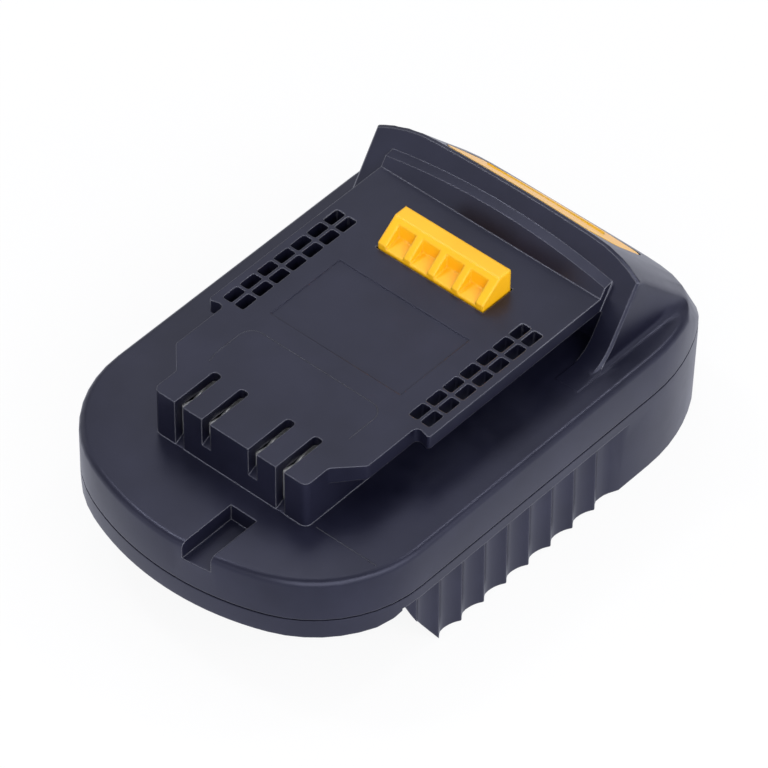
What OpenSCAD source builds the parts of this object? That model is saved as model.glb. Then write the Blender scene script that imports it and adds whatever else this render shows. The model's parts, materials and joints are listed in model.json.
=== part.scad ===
// Battery adapter: a rail block that slides into a tool on top, a bay for a slide-on pack below.
// Nose at -Y, release button at +Y, the foot of the skirt on the ground.

/* [Body] */
// Length of the body, nose to rear
body_length = 121; // [114:1:130]
// Width of the body
body_width = 76; // [74:1:82]
// Plan radius of the nose front
nose_front_radius = 58; // [50:1:75]
// Plan radius of the nose corners
nose_corner_radius = 26; // [20:1:30]
// Plan radius of the rear face
rear_face_radius = 220; // [120:5:400]
// Plan radius of the sides where they turn in towards the rear
rear_side_radius = 38; // [34:0.5:42]
// Distance from the rear end to where the sides turn in
rear_side_setback = 26.5; // [25:0.5:28]
// Plan radius of the rear corners
rear_corner_radius = 12; // [10:0.5:14]
// Height of the parting line above the foot of the skirt
parting_height = 19.4; // [18.6:0.2:24]
// Height of the upper wall, parting line to plate
upper_wall_height = 9.7; // [9.4:0.1:13]
// Rounding of the plate's edge
plate_edge_radius = 1.4; // [0.6:0.1:1.8]
// Wall thickness of the housings
wall = 2.2; // [1.8:0.1:2.5]
// Height of the shadow gap in the parting line
shadow_gap = 0.35; // [0.2:0.05:0.5]
// Depth of the shadow gap in the parting line
shadow_gap_depth = 1; // [0.6:0.1:1.2]

/* [Tool rail] */
// Distance from the nose tip to the front of the rail flanges
rail_setback = 42.2; // [40:0.2:46]
// Length of the rail flanges
rail_length = 48.6; // [46:0.2:50]
// Width over the rail flanges
rail_width = 54.6; // [52:0.2:58]
// Thickness of the flanges at the neck
rail_thickness = 3.9; // [3.2:0.1:4.6]
// Thickness of the flanges at their outer edge
rail_tip_thickness = 3.1; // [2.4:0.1:3.2]
// Height of the rail block above the plate
block_height = 10.9; // [10:0.1:13]
// Width of the neck and of the nose block
neck_width = 37.7; // [36.5:0.1:39]
// Width over the shoulders in front of the flanges
shoulder_width = 47.6; // [45:0.2:50]
// Length of the shoulders
shoulder_length = 12.6; // [9:0.2:14]
// Length of the slanted step from shoulder to nose block
shoulder_slant = 5.2; // [3:0.1:6]
// Distance from the flange fronts to the front of the nose block
nose_block_length = 24; // [22:0.2:27]
// How far the flange front runs back at its inner corner
flange_hook = 1; // [0.4:0.1:1.6]
// Rounding of the nose block's upright edges
block_corner_radius = 1.4; // [0.6:0.1:2]

/* [Terminal slots] */
// Width of a terminal slot
slot_width = 2.1; // [1.8:0.1:2.6]
// Length of a terminal slot
slot_length = 10.8; // [8:0.2:11.2]
// Pitch of the two slots of a pair
slot_pair_pitch = 6.75; // [6.7:0.05:7.3]
// Pitch of the two inner slots
slot_inner_pitch = 11.5; // [10:0.1:12]
// Height of the inner slots' floor above the plate
slot_floor_height = 4.2; // [3:0.1:5.4]
// Height of the ramp at the foot of a slot
slot_ramp = 1.2; // [0.6:0.1:1.6]
// Clear width of the chamber round a contact
chamber_width = 5.4; // [5.2:0.1:5.6]
// Length of the chamber round a contact
chamber_length = 12.5; // [11.5:0.1:13]
// Thickness of the nose wall in front of the chambers
chamber_wall = 2; // [1.4:0.1:2.4]

/* [Vents] */
// Number of vent rows on each flange
vent_rows = 7; // [3:1:7]
// Pitch of the vent rows
vent_pitch = 4.66; // [4.4:0.02:5]
// Length of a vent
vent_length = 4; // [3:0.1:4.1]
// Width of a vent
vent_width = 2.3; // [1.6:0.1:2.4]
// Distance from the flange front to the first vents' centre
vent_setback = 4.2; // [3.6:0.1:5]
// Pitch of the two vent columns
vent_column_pitch = 2.9; // [2.7:0.1:3.2]

/* [Label and notch] */
// Width of the label recess
label_width = 32.2; // [20:0.2:34]
// Length of the label recess
label_length = 19.2; // [12:0.2:22]
// Distance from the flange front to the label recess
label_setback = 5; // [3:0.1:7]
// Depth of the label recess
label_depth = 0.25; // [0.1:0.05:0.4]
// Width of the notch in the nose
notch_width = 6.3; // [5:0.1:8]
// Length of the notch
notch_length = 13.5; // [10:0.1:15]
// Depth of the notch
notch_depth = 3.7; // [2:0.1:4.2]
// Sideways place of the notch's centre
notch_x = 7.75; // [-8:0.05:9]

/* [Hump] */
// Width of the hump
hump_width = 65; // [64:0.1:66]
// Lean of the hump's front face from upright
face_lean = 32.6; // [31:0.1:34]
// Lean of the hump's rear face from upright
rear_lean = 39.4; // [38.6:0.1:41]
// Setback of the front face behind the rail block's end
face_setback = 1.9; // [1.5:0.1:2.4]
// Setback of the rear face at the parting line
rear_setback = 0.4; // [0.2:0.1:1]
// Hollow rounding at the foot of the front face
face_fillet = 8; // [4:0.5:10]
// Hollow rounding at the foot of the hump's sides
side_fillet = 1.2; // [0.8:0.1:1.6]
// Width of the slanted strip down the front face's side edges
face_strip = 0.45; // [0.2:0.05:0.8]
// How far the rear face bulges at the height of the plate
rear_bulge = 1.9; // [1.2:0.1:2.4]
// How far the ridge is flattened
ridge_flat = 0.45; // [0.2:0.05:0.8]
// Drop of the rear face towards its sides
rear_crown = 1; // [0.6:0.05:1.6]
// Extra drop at the rounded shoulders
shoulder_drop = 2.8; // [1.6:0.1:3.2]
// Reach of the rounded shoulders
shoulder_reach = 12; // [8:0.5:14]
// Setback of the rear face at the hump's sides, at the plate
plate_shoulder = 4; // [3:0.1:5]
// Height of the pad's front on the hump's face
pad_height = 3.75; // [3:0.05:4.5]
// Drop of the pad's top from its middle to its ends
pad_arch = 1.6; // [1:0.1:2.2]
// Rise of the pad's top towards the face
pad_rise = 0.35; // [0.1:0.05:0.6]
// Height of the low step in front of the hump's wings
step_height = 0.12; // [0.1:0.02:0.3]
// Gap beside the rail flanges where they run into the hump
groove_gap = 0.4; // [0.2:0.05:0.5]

/* [Release latch] */
// Width of the latch tooth
latch_width = 26; // [22:0.2:28]
// Depth of the latch tooth
latch_depth = 7.9; // [7:0.1:9]
// Height of the latch tooth above the rail block
latch_height = 5; // [4:0.1:5.6]
// Depth of the flat ridge on the tooth
latch_ridge = 3; // [2:0.1:3.6]
// Height of the upright edge at the tooth's front
latch_lip = 0.7; // [0.3:0.1:1.2]
// Distance from the flange front to the tooth
latch_setback = 31.6; // [31.4:0.1:33]
// Number of pockets in the tooth's slope
pocket_count = 4; // [2:1:4]
// Width of a pocket
pocket_width = 4.35; // [3.6:0.05:4.6]
// Rib between two pockets
pocket_rib = 1.6; // [1:0.1:2]
// Depth of a pocket from the tooth's front
pocket_depth = 3.7; // [2.6:0.1:4]
// Travel of the latch
latch_travel = 4.5; // [3.5:0.1:4.6]
// Clearance round the latch and the button
latch_clearance = 0.35; // [0.3:0.05:0.6]
// Thickness of the latch's frame
frame_thickness = 2.6; // [2:0.1:3]
// Margin of the frame round the tooth
frame_margin = 1.5; // [1:0.1:1.8]
// Width of the button at its front
button_front_width = 33; // [28:0.5:36]
// Width of the button
button_width = 42; // [40:0.5:46]
// Distance from the ridge to the button
button_rim = 1.1; // [0.9:0.1:2]
// Depth of the button in plan
button_depth = 13; // [12:0.1:15]
// Length of the button's flare in plan
button_flare = 4; // [3:0.1:6]
// Lean of the button's face from upright
button_lean = 43; // [41:0.1:44]
// How far the button's front edge stands out of the rear face
button_proud = 0.1; // [0:0.05:0.3]
// Thickness of the button below the rear face
button_thickness = 3; // [2.4:0.1:3.4]
// Distance between the two springs
spring_spacing = 14; // [12:0.5:15]
// Outer diameter of a spring
spring_diameter = 5.9; // [5:0.1:6.2]
// Wire diameter of a spring
spring_wire = 0.7; // [0.5:0.05:0.8]
// Number of turns of a spring
spring_turns = 5; // [4:1:5]
// Length left open in a spring when the latch is pressed home
spring_reserve = 1.8; // [1.4:0.1:2.4]
// Height of the pins that hold the springs' ends
spring_pin_height = 1.9; // [1.4:0.1:2.3]
// Clearance of the pins inside the springs
spring_pin_clearance = 0.3; // [0.2:0.05:0.5]

/* [Pack bay] */
// Height of the bay from the foot of the skirt to the deck
bay_height = 14.7; // [13.4:0.1:15]
// Thickness of the deck over the bay
deck_thickness = 2.2; // [1.8:0.1:2.6]
// Wall between the bay and the outside
bay_wall = 4.3; // [4:0.1:4.6]
// Clear width between the bay's rails
bay_rail_gap = 60; // [56:0.5:63]
// Thickness of the bay's rails
bay_rail_thickness = 3.8; // [3:0.1:5]
// Distance from the nose tip to the top of the skirt's front edge
skirt_setback = 25; // [24:0.2:28]
// Run-back of the skirt's front edge
skirt_slant = 9; // [6:0.2:11]
// Draft of the skirt at its foot
skirt_draft = 0.5; // [0.2:0.1:0.8]
// Height of the lip below the parting line
lip_height = 2.8; // [2:0.1:3]
// Width of the recess for the pack's catch
catch_width = 24; // [16:0.5:28]
// Length of the recess for the pack's catch
catch_length = 6; // [4:0.1:8]
// Depth of the recess for the pack's catch
catch_depth = 3; // [2:0.1:3.2]

/* [Grip ribs] */
// Number of ribs on each side
rib_count = 8; // [4:1:8]
// Pitch of the ribs
rib_pitch = 6.37; // [5.8:0.01:6.5]
// Height of a rib above the valleys
rib_height = 1.2; // [0.8:0.1:1.4]
// Depth of the valleys below the body's side
rib_recess = 1.8; // [1.4:0.1:1.9]
// Length of the ramp from the valleys to the plain wall
rib_ramp = 6; // [3:0.1:7]

/* [Electrics] */
// Width of the circuit board
board_width = 45; // [43:0.5:47]
// Length of the circuit board
board_length = 46; // [44:0.5:48]
// Thickness of the circuit board
board_thickness = 1.6; // [1:0.1:2]
// Distance from the plate's underside to the board
board_drop = 1.9; // [1.6:0.1:2.4]
// Thickness of the contact strip
contact_strip = 0.5; // [0.4:0.05:0.6]
// Gap between the leaves of a contact where they pinch
contact_pinch = 0.9; // [0.6:0.05:1.2]
// Clearance of a contact in its chamber
contact_clearance = 0.2; // [0.1:0.05:0.3]
// Distance between the two pack blades
blade_spacing = 34; // [30:0.5:36]
// Thickness of a pack blade
blade_thickness = 1; // [0.8:0.05:1.2]
// Height of a pack blade
blade_height = 6; // [5:0.1:7]
// Reach of a pack blade in front of its block
blade_reach = 11; // [8:0.1:13]
// Width of the terminal block
terminal_width = 44; // [42:0.5:45]
// Depth of the terminal block
terminal_depth = 10.5; // [9.5:0.1:11]
// Height of the terminal block
terminal_height = 10; // [9:0.1:11]
// Clearance of the blades in the block and the deck
blade_clearance = 0.1; // [0.05:0.05:0.2]
// Diameter of the leads
lead_diameter = 2.4; // [1.8:0.1:2.6]

/* [Screws] */
// Sideways place of the nose screws
nose_screw_x = 24; // [20:0.5:25]
// Distance of the nose screws from the nose tip
nose_screw_setback = 13.2; // [13:0.2:15]
// Sideways place of the rear screws
rear_screw_x = 27; // [26.5:0.1:27.5]
// Distance of the rear screws from the rear end
rear_screw_setback = 22; // [21.5:0.1:23]
// Shank diameter of the housing screws
screw_diameter = 2.6; // [2.2:0.1:3]
// Head diameter of the housing screws
screw_head = 5; // [4.4:0.1:5.4]
// Shank length of the housing screws
screw_length = 9; // [7:0.2:10]
// Diameter of the screw bosses
boss_diameter = 7; // [6.4:0.1:7.4]
// Shank diameter of the small screws
small_screw = 1.8; // [1.5:0.1:2]
// Head diameter of the small screws
small_head = 3.4; // [3:0.1:3.6]
// Bite of the small screws in their standoffs
small_bite = 2.4; // [2:0.1:2.6]
// Clearance of the screws in their holes
screw_clearance = 0.1; // [0.05:0.05:0.2]

/* [Hidden] */
$fn = 48;

plastic_color = [0.16, 0.165, 0.2];
latch_color = [1, 0.72, 0.12];
metal_color = [0.75, 0.76, 0.78];
board_color = [0.1, 0.35, 0.2];

// Cuts run past the faces that they open by this much
cut = 1;
// A length past every part of the object
far = 200;

// Heights
plate_z = parting_height + upper_wall_height;
top_z = plate_z + block_height;
skin_z = top_z - wall;
ceiling_z = plate_z - wall;
deck_z = bay_height;
deck_top_z = deck_z + deck_thickness;
lip_z = parting_height - lip_height;
board_top_z = ceiling_z - board_drop;
board_z = board_top_z - board_thickness;

// Places along the body
nose_y = -body_length / 2;
rear_y = body_length / 2;
rail_y = nose_y + rail_setback;
rail_end_y = rail_y + rail_length;
block_front_y = rail_y - nose_block_length;
chamber_y = block_front_y + chamber_wall;
hollow_y = chamber_y + chamber_length + wall;
cavity_y = rail_end_y + wall;
latch_y = rail_y + latch_setback;
latch_end_y = latch_y + latch_depth;

// The hump's faces: how far they run along the body for each unit of height
face_slope = tan(face_lean);
rear_slope = tan(rear_lean);
face_wall = wall / cos(face_lean);
hump_face_y = rail_end_y + face_setback;
hump_rear_y = rear_y - rear_setback;
ridge_z =
  (hump_rear_y - hump_face_y + rear_slope * parting_height + face_slope * top_z)
  / (face_slope + rear_slope);
ridge_y = face_y(ridge_z);
hump_half = hump_width / 2;
upper_rear_slope = rear_slope + rear_bulge / (ridge_z - plate_z);
lower_rear_slope = rear_slope - rear_bulge / upper_wall_height;

// Plan outline of the body
nose_center_y = nose_y + nose_front_radius;
nose_corner = corner_center(nose_front_radius, nose_corner_radius, nose_center_y, -1);
rear_center_y = rear_y - rear_face_radius;
rear_side_center = [body_width / 2 - rear_side_radius, rear_y - rear_side_setback];
rear_corner = between_arcs(
  rear_side_center, rear_side_radius, [0, rear_center_y], rear_face_radius, rear_corner_radius
);
outline_steps = 9;

// Latch
frame_top_z = skin_z - latch_clearance;
frame_z = frame_top_z - frame_thickness;
button_y = ridge_y + button_rim;
button_end_y = button_y + button_depth;
spring_length = latch_travel + spring_turns * spring_wire + spring_reserve;
spring_z = frame_z - spring_length;
spring_y = latch_end_y + spring_diameter;
spring_mean_radius = (spring_diameter - spring_wire) / 2;
spring_pin_diameter = spring_diameter - 2 * spring_wire - 2 * spring_pin_clearance;
spring_tower_diameter = spring_diameter + 2;

// Terminal slots, from the left
slot_inner = slot_inner_pitch / 2;
slot_outer = slot_inner + slot_pair_pitch;
slot_x = [-slot_outer, -slot_inner, slot_inner, slot_outer];
slot_floor = [plate_z, plate_z + slot_floor_height, plate_z + slot_floor_height, plate_z];

// Electrics
board_y = block_front_y + chamber_wall;
board_end_y = board_y + board_length;
standoff_x = board_width / 2 - small_head;
standoff_y = [board_y + board_length * 0.45, board_end_y - small_head];
standoff_diameter = 4.6;
contact_half = chamber_width / 2 - contact_clearance;
contact_z = ceiling_z + 1.2;
contact_top_z = skin_z - 0.6;
contact_length = chamber_length - 2 * contact_clearance;
contact_y = chamber_y + contact_clearance;
contact_tail = 4;
terminal_end_y = rear_y - bay_wall - 2;
terminal_y = terminal_end_y - terminal_depth;
terminal_z = deck_z - terminal_height;
terminal_screw_x = 7;
terminal_screw_y = terminal_y + terminal_depth / 2;
blade_tail_y = terminal_y + 2;
blade_tail_depth = 2;
blade_z = deck_z - 2.5 - blade_height;
blade_top_z = deck_top_z + 2.4;
lead_pad_x = 11;

// Screws
head_height = 2;
small_head_height = 1.2;
small_screw_length = 5;
nose_screw_y = nose_y + nose_screw_setback;
rear_screw_y = rear_y - rear_screw_setback;
screw_places = [
  [-nose_screw_x, nose_screw_y], [nose_screw_x, nose_screw_y],
  [-rear_screw_x, rear_screw_y], [rear_screw_x, rear_screw_y]
];
head_z = deck_z + head_height;

// Front of the bay's rails, hidden behind the skirt's front edge
bay_rail_y = nose_y + skirt_setback + skirt_slant + bay_rail_thickness;

// Front face of the hump at a height
function face_y(z) = hump_face_y + face_slope * (z - top_z);

// Rear face of the hump at a height, in the middle
function rear_face_y(z) = z > plate_z
  ? ridge_y + upper_rear_slope * (ridge_z - z)
  : hump_rear_y - lower_rear_slope * (z - parting_height);

// Height of the upper rear face at a place along the body, in the middle
function rear_face_z(y) = ridge_z - (y - ridge_y) / upper_rear_slope;

// Drop of the hump's rear face at a distance from the middle, square to the face
function rear_drop(x) =
  let (t = max(0, (x - hump_half + shoulder_reach) / shoulder_reach))
  rear_crown * pow(x / hump_half, 2) + shoulder_drop * t * t;

// Places across half of the hump at which its curves are drawn
rear_stations = [for (k = [0:10]) hump_half * k / 10];

// Centre of a corner arc that meets an end arc and the straight side
function corner_center(end_radius, radius, end_y, side) =
  let (x = body_width / 2 - radius)
  [x, end_y + side * sqrt(pow(end_radius - radius, 2) - x * x)];

// Centre of an arc inside two others that touches both
function between_arcs(a_center, a_radius, b_center, b_radius, radius) =
  let (
    apart = norm(a_center - b_center),
    u = (a_center - b_center) / apart,
    a = a_radius - radius,
    b = b_radius - radius,
    h = (b * b - a * a + apart * apart) / (2 * apart)
  )
  b_center + u * h + [u[1], -u[0]] * sqrt(b * b - h * h);

// Direction from one place to another
function bearing(from, to) = atan2(to[1] - from[1], to[0] - from[0]);

// Points on an arc
function arc(center, radius, from, to, steps) = [
  for (i = [0:steps])
    let (a = from + (to - from) * i / steps)
    [center[0] + radius * cos(a), center[1] + radius * sin(a)]
];

// A list without its last item
function most(list) = [for (i = [0:len(list) - 2]) list[i]];

// A half outline joined to its mirror image across the YZ plane, ends on the axis
function mirrored(half) = concat(half, [
  for (i = [len(half) - 2:-1:1]) [-half[i][0], half[i][1]]
]);

// Plan outline of the body, drawn in by an inset
function body_outline(inset) =
  let (
    nose_angle = bearing([0, nose_center_y], nose_corner),
    side_angle = bearing(rear_side_center, rear_corner),
    rear_angle = bearing([0, rear_center_y], rear_corner)
  )
  mirrored(concat(
    most(arc([0, nose_center_y], nose_front_radius - inset, -90, nose_angle, outline_steps)),
    arc(nose_corner, nose_corner_radius - inset, nose_angle, 0, outline_steps),
    most(arc(rear_side_center, rear_side_radius - inset, 0, side_angle, 6)),
    most(arc(rear_corner, rear_corner_radius - inset, side_angle, rear_angle, 7)),
    arc([0, rear_center_y], rear_face_radius - inset, rear_angle, 90, 4)
  ));

// A polygon whose corners [x, y, radius] are rounded
function rounded(corners, steps) = [
  for (i = [0:len(corners) - 1])
    let (
      n = len(corners),
      here = [corners[i][0], corners[i][1]],
      before = [corners[(i + n - 1) % n][0], corners[(i + n - 1) % n][1]] - here,
      after = [corners[(i + 1) % n][0], corners[(i + 1) % n][1]] - here,
      u = before / norm(before),
      v = after / norm(after),
      radius = corners[i][2]
    )
    each radius == 0 ? [here] : corner_arc(here, u, v, radius, steps)
];

// Points of one rounded corner between two directions
function corner_arc(here, u, v, radius, steps) =
  let (
    half = acos(u * v) / 2,
    center = here + (u + v) / norm(u + v) * radius / sin(half),
    first = here + u * radius / tan(half) - center,
    last = here + v * radius / tan(half) - center,
    from = atan2(first[1], first[0]),
    turn = (atan2(last[1], last[0]) - from + 540) % 360 - 180
  )
  arc(center, radius, from, from + turn, steps);

// A rounded rectangle about the origin
function rounded_box(width, length, radius, steps) = rounded([
  [-width / 2, -length / 2, radius], [width / 2, -length / 2, radius],
  [width / 2, length / 2, radius], [-width / 2, length / 2, radius]
], steps);

// Outline at a height, as points in space
function ring(points, z) = [for (p = points) [p[0], p[1], z]];

// Solid through rings that have the same number of points
module loft(rings) {
  n = len(rings[0]);
  top = (len(rings) - 1) * n;
  sides = [
    for (k = [0:len(rings) - 2])
      for (i = [0:n - 1])
        let (j = (i + 1) % n)
        each [
          [k * n + i, (k + 1) * n + i, (k + 1) * n + j],
          [k * n + i, (k + 1) * n + j, k * n + j]
        ]
  ];
  foot = [for (i = [0:n - 1]) i];
  head = [for (i = [n - 1:-1:0]) top + i];
  polyhedron([for (r = rings) each r], concat([foot], sides, [head]));
}

// Upright prism between two heights
module prism(points, from, to) {
  translate([0, 0, from]) linear_extrude(to - from) polygon(points);
}

// Prism across the body, from points [y, z]
module across(points, width) {
  rotate([90, 0, 90]) translate([0, 0, -width / 2]) linear_extrude(width) polygon(points);
}

// Prism along the body, from points [x, z]
module along(points, from, to) {
  translate([0, to, 0]) rotate([90, 0, 0]) linear_extrude(to - from) polygon(points);
}

// Box between two corners
module block(low, high) {
  translate(low) cube(high - low);
}

// Upright cylinder between two heights
module post(place, diameter, from, to) {
  translate([place[0], place[1], from]) cylinder(d = diameter, h = to - from);
}

// Both mirror images across the YZ plane
module pair() {
  children();
  mirror([1, 0, 0]) children();
}

// How far the rear face lies behind its middle: at the ridge, at the plate and at the parting line
function ridge_shift(x) = rear_drop(x) / cos(rear_lean) + 0.35 * pow(max(0, x - hump_half), 1.5);

function plate_shift(x) =
  let (past = max(0, x - hump_half))
  plate_shoulder * pow(min(1, x / hump_half), 8) + past + past * past / 12;

function parting_shift(x) =
  let (t = max(0, x - hump_half * 0.7))
  rear_crown * pow(x / hump_half, 2) / cos(rear_lean) + 0.041 * t * t;

// Places across half of the rear face
limit_stations = concat(
  [for (k = [0:9]) hump_half * k / 10],
  [for (k = [0:6]) hump_half + (body_width / 2 + 2 - hump_half) * k / 6]
);

// Section of the space in front of the rear face at a height, its shifts mixed from two levels
function limit_ring(z, low, high, share, inset) =
  ring(mirrored(concat(
    [[0, -far], [body_width, -far]],
    [
      for (k = [len(limit_stations) - 1:-1:0])
        let (x = limit_stations[k])
        [x, rear_face_y(z) - low[k] * (1 - share) - high[k] * share - inset / cos(rear_lean)]
    ]
  )), z);

// Everything in front of the hump's rear face, drawn in by an inset
module rear_limit(inset) {
  ridge = [for (x = limit_stations) ridge_shift(x)];
  middle = [for (x = limit_stations) plate_shift(x)];
  foot = [for (x = limit_stations) parting_shift(x)];
  below = wall;
  above = 2 * wall;
  loft([
    limit_ring(parting_height - below, foot, middle, -below / upper_wall_height, inset),
    limit_ring(plate_z, foot, middle, 1, inset),
    limit_ring(ridge_z + above, middle, ridge, 1 + above / (ridge_z - plate_z), inset)
  ]);
}

// Everything in front of a crowned face that leans back through a place in the middle
module leaning_limit(y, z, lean, inset) {
  last = rear_drop(hump_half);
  half_limit = concat(
    [for (x = rear_stations) [x, -rear_drop(x) - inset]],
    [[body_width, -last - inset], [body_width, -far], [0, -far]]
  );
  translate([0, y, z])
    rotate([lean, 0, 0])
      translate([0, 0, -far / 2])
        linear_extrude(far) polygon(mirrored(half_limit));
}

// Height of the flattened ridge at a distance from the middle
function ridge_top(x) =
  ridge_z - ridge_flat - rear_drop(x) / cos(rear_lean) / (face_slope + upper_rear_slope);

// Profile of the hump's front face with its hollow foot, drawn in by an inset: points [y, z]
function face_profile(inset, high) =
  let (
    toe_y = face_y(plate_z) - face_fillet * tan(45 - face_lean / 2),
    foot = arc([toe_y, plate_z + face_fillet], face_fillet + inset, -84, -face_lean, 6)
  )
  concat(
    [[foot[0][0], parting_height], [rear_y + cut, parting_height], [rear_y + cut, high]],
    [[face_y(high) + inset / cos(face_lean), high]],
    [for (k = [6:-1:0]) foot[k]]
  );

// The hump before its rear face is cut: its profile, its width and the body's outline in one
module hump_block() {
  high = ridge_z + cut;
  side_foot = arc([hump_half + side_fillet, plate_z + side_fillet], side_fillet, 260, 180, 4);
  half_section = concat(
    [[0, parting_height], [side_foot[0][0], parting_height]],
    side_foot,
    [for (k = [10:-1:0]) [rear_stations[k], ridge_top(rear_stations[k])]]
  );
  intersection() {
    loft([
      for (p = [[-body_width / 2, 1], [-hump_half, 1], [face_strip - hump_half, 0],
        [hump_half - face_strip, 0], [hump_half, 1], [body_width / 2, 1]])
        [for (q = face_profile(p[1] * face_strip, high)) [p[0], q[0], q[1]]]
    ]);
    along(mirrored(half_section), nose_y, rear_y);
    prism(body_outline(0), parting_height, high);
  }
}

// The room inside the hump
module hump_cavity() {
  high = ridge_z + cut;
  corner_z = top_z + (cavity_y - face_wall - hump_face_y) / face_slope;
  low = parting_height - cut;
  intersection() {
    across([
      [cavity_y, low], [rear_y, low], [rear_y, high],
      [face_y(high) + face_wall, high], [cavity_y, corner_z]
    ], hump_width - 2 * wall);
    prism(body_outline(wall), low, high);
    rear_limit(wall);
  }
}

// The ends of the two grooves, which run into the hump under the flanges
module groove_ends() {
  under = top_z - rail_thickness;
  tip = top_z - rail_tip_thickness;
  neck = neck_width / 2;
  half = rail_width / 2;
  pair()
    along([
      [neck, plate_z], [half + groove_gap, plate_z], [half + groove_gap, tip], [half, tip], [neck, under]
    ], rail_end_y - rail_length / 2, rail_end_y);
}

// The plate and its wall, with a rounded edge
module plate() {
  steps = 4;
  rings = concat(
    [ring(body_outline(0), parting_height)],
    [
      for (k = [0:steps])
        let (a = 90 * k / steps)
        ring(
          body_outline(plate_edge_radius * (1 - cos(a))),
          plate_z - plate_edge_radius * (1 - sin(a))
        )
    ]
  );
  loft(rings);
}

// The pad on the hump's face behind the rail block
module hump_pad() {
  arch_radius = (pow(rail_width / 2, 2) + pad_arch * pad_arch) / (2 * pad_arch);
  front_z = top_z + pad_height;
  front_y = rail_end_y + face_slope * pad_height;
  back_z = front_z + pad_rise;
  top_angle = atan2(pad_rise, face_y(back_z) - front_y);
  intersection() {
    across([
      [rail_end_y, top_z - wall], [cavity_y, top_z - wall], [face_y(back_z) + face_wall / 2, back_z + 2],
      [front_y, back_z + 2], [front_y, front_z], [rail_end_y, top_z]
    ], rail_width);
    translate([0, front_y, front_z])
      rotate([top_angle - 90, 0, 0])
        translate([0, arch_radius, -wall * 4])
          cylinder(r = arch_radius, h = wall * 8, $fn = 180);
  }
}

// Plan of the rail block's top
function rail_outline() = rounded(both_sides_round([
  [neck_width / 2, block_front_y, block_corner_radius],
  [neck_width / 2, rail_y - shoulder_length - shoulder_slant, block_corner_radius],
  [shoulder_width / 2, rail_y - shoulder_length, block_corner_radius],
  [shoulder_width / 2, rail_y + flange_hook, flange_hook],
  [rail_width / 2, rail_y, 0.6],
  [rail_width / 2, cavity_y, 0]
]), 5);

// Corners [x, y, radius] joined to their mirror image
function both_sides_round(half) = concat(half, [
  for (i = [len(half) - 1:-1:0]) [-half[i][0], half[i][1], half[i][2]]
]);

// The rail block: nose, neck and flanges
module rail_block() {
  under = top_z - rail_thickness;
  tip = top_z - rail_tip_thickness;
  half = rail_width / 2;
  neck = neck_width / 2;
  prism(rounded(both_sides_round([
    [neck, block_front_y, block_corner_radius], [neck, cavity_y, 0]
  ]), 5), ceiling_z, top_z - rail_tip_thickness);
  intersection() {
    prism(rail_outline(), under, top_z);
    along([
      [-half, tip], [-neck, under], [neck, under], [half, tip], [half, top_z], [-half, top_z]
    ], block_front_y, cavity_y);
  }
}

// One terminal slot with a rounded rear end and a ramp at its foot
module slot_cut(x, floor_z) {
  plan = rounded([
    [-slot_width / 2, block_front_y - cut, 0], [slot_width / 2, block_front_y - cut, 0],
    [slot_width / 2, block_front_y + slot_length, slot_width * 0.35],
    [-slot_width / 2, block_front_y + slot_length, slot_width * 0.35]
  ], 3);
  translate([x, 0, 0])
    difference() {
      prism(plan, floor_z, top_z + cut);
      across([
        [block_front_y, floor_z - cut], [chamber_y, floor_z - cut],
        [chamber_y, floor_z + slot_ramp], [block_front_y, floor_z]
      ], slot_width + cut);
    }
}

// The vents of both flanges
module vent_cuts() {
  cell = rounded_box(vent_width, vent_length, vent_width / 5, 3);
  pair()
    for (column = [0, 1])
      for (row = [0:vent_rows - 1])
        translate([
          (neck_width + rail_width) / 4 + (column - 0.5) * vent_column_pitch,
          rail_y + vent_setback + row * vent_pitch, 0
        ])
          prism(cell, top_z - rail_thickness - cut, top_z + cut);
}

// Plan of the release button, grown by a clearance
function button_outline(grow) =
  let (
    front = button_front_width / 2 + grow,
    side = button_width / 2 + grow,
    first_y = button_y - grow,
    last_y = button_end_y + grow
  )
  rounded(both_sides_round([
    [front, first_y, 2.5], [side, first_y + button_flare, 3], [side, last_y, 3]
  ]), 4);

// Floor and flanks under the notch in the nose
module notch_box(grow, low) {
  half = notch_width / 2 + grow;
  end_y = nose_y + notch_length + grow;
  intersection() {
    block([notch_x - half, nose_y - cut, low], [notch_x + half, end_y, plate_z + grow]);
    prism(body_outline(grow > 0 ? 0 : -cut), low, plate_z + cut);
  }
}

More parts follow.
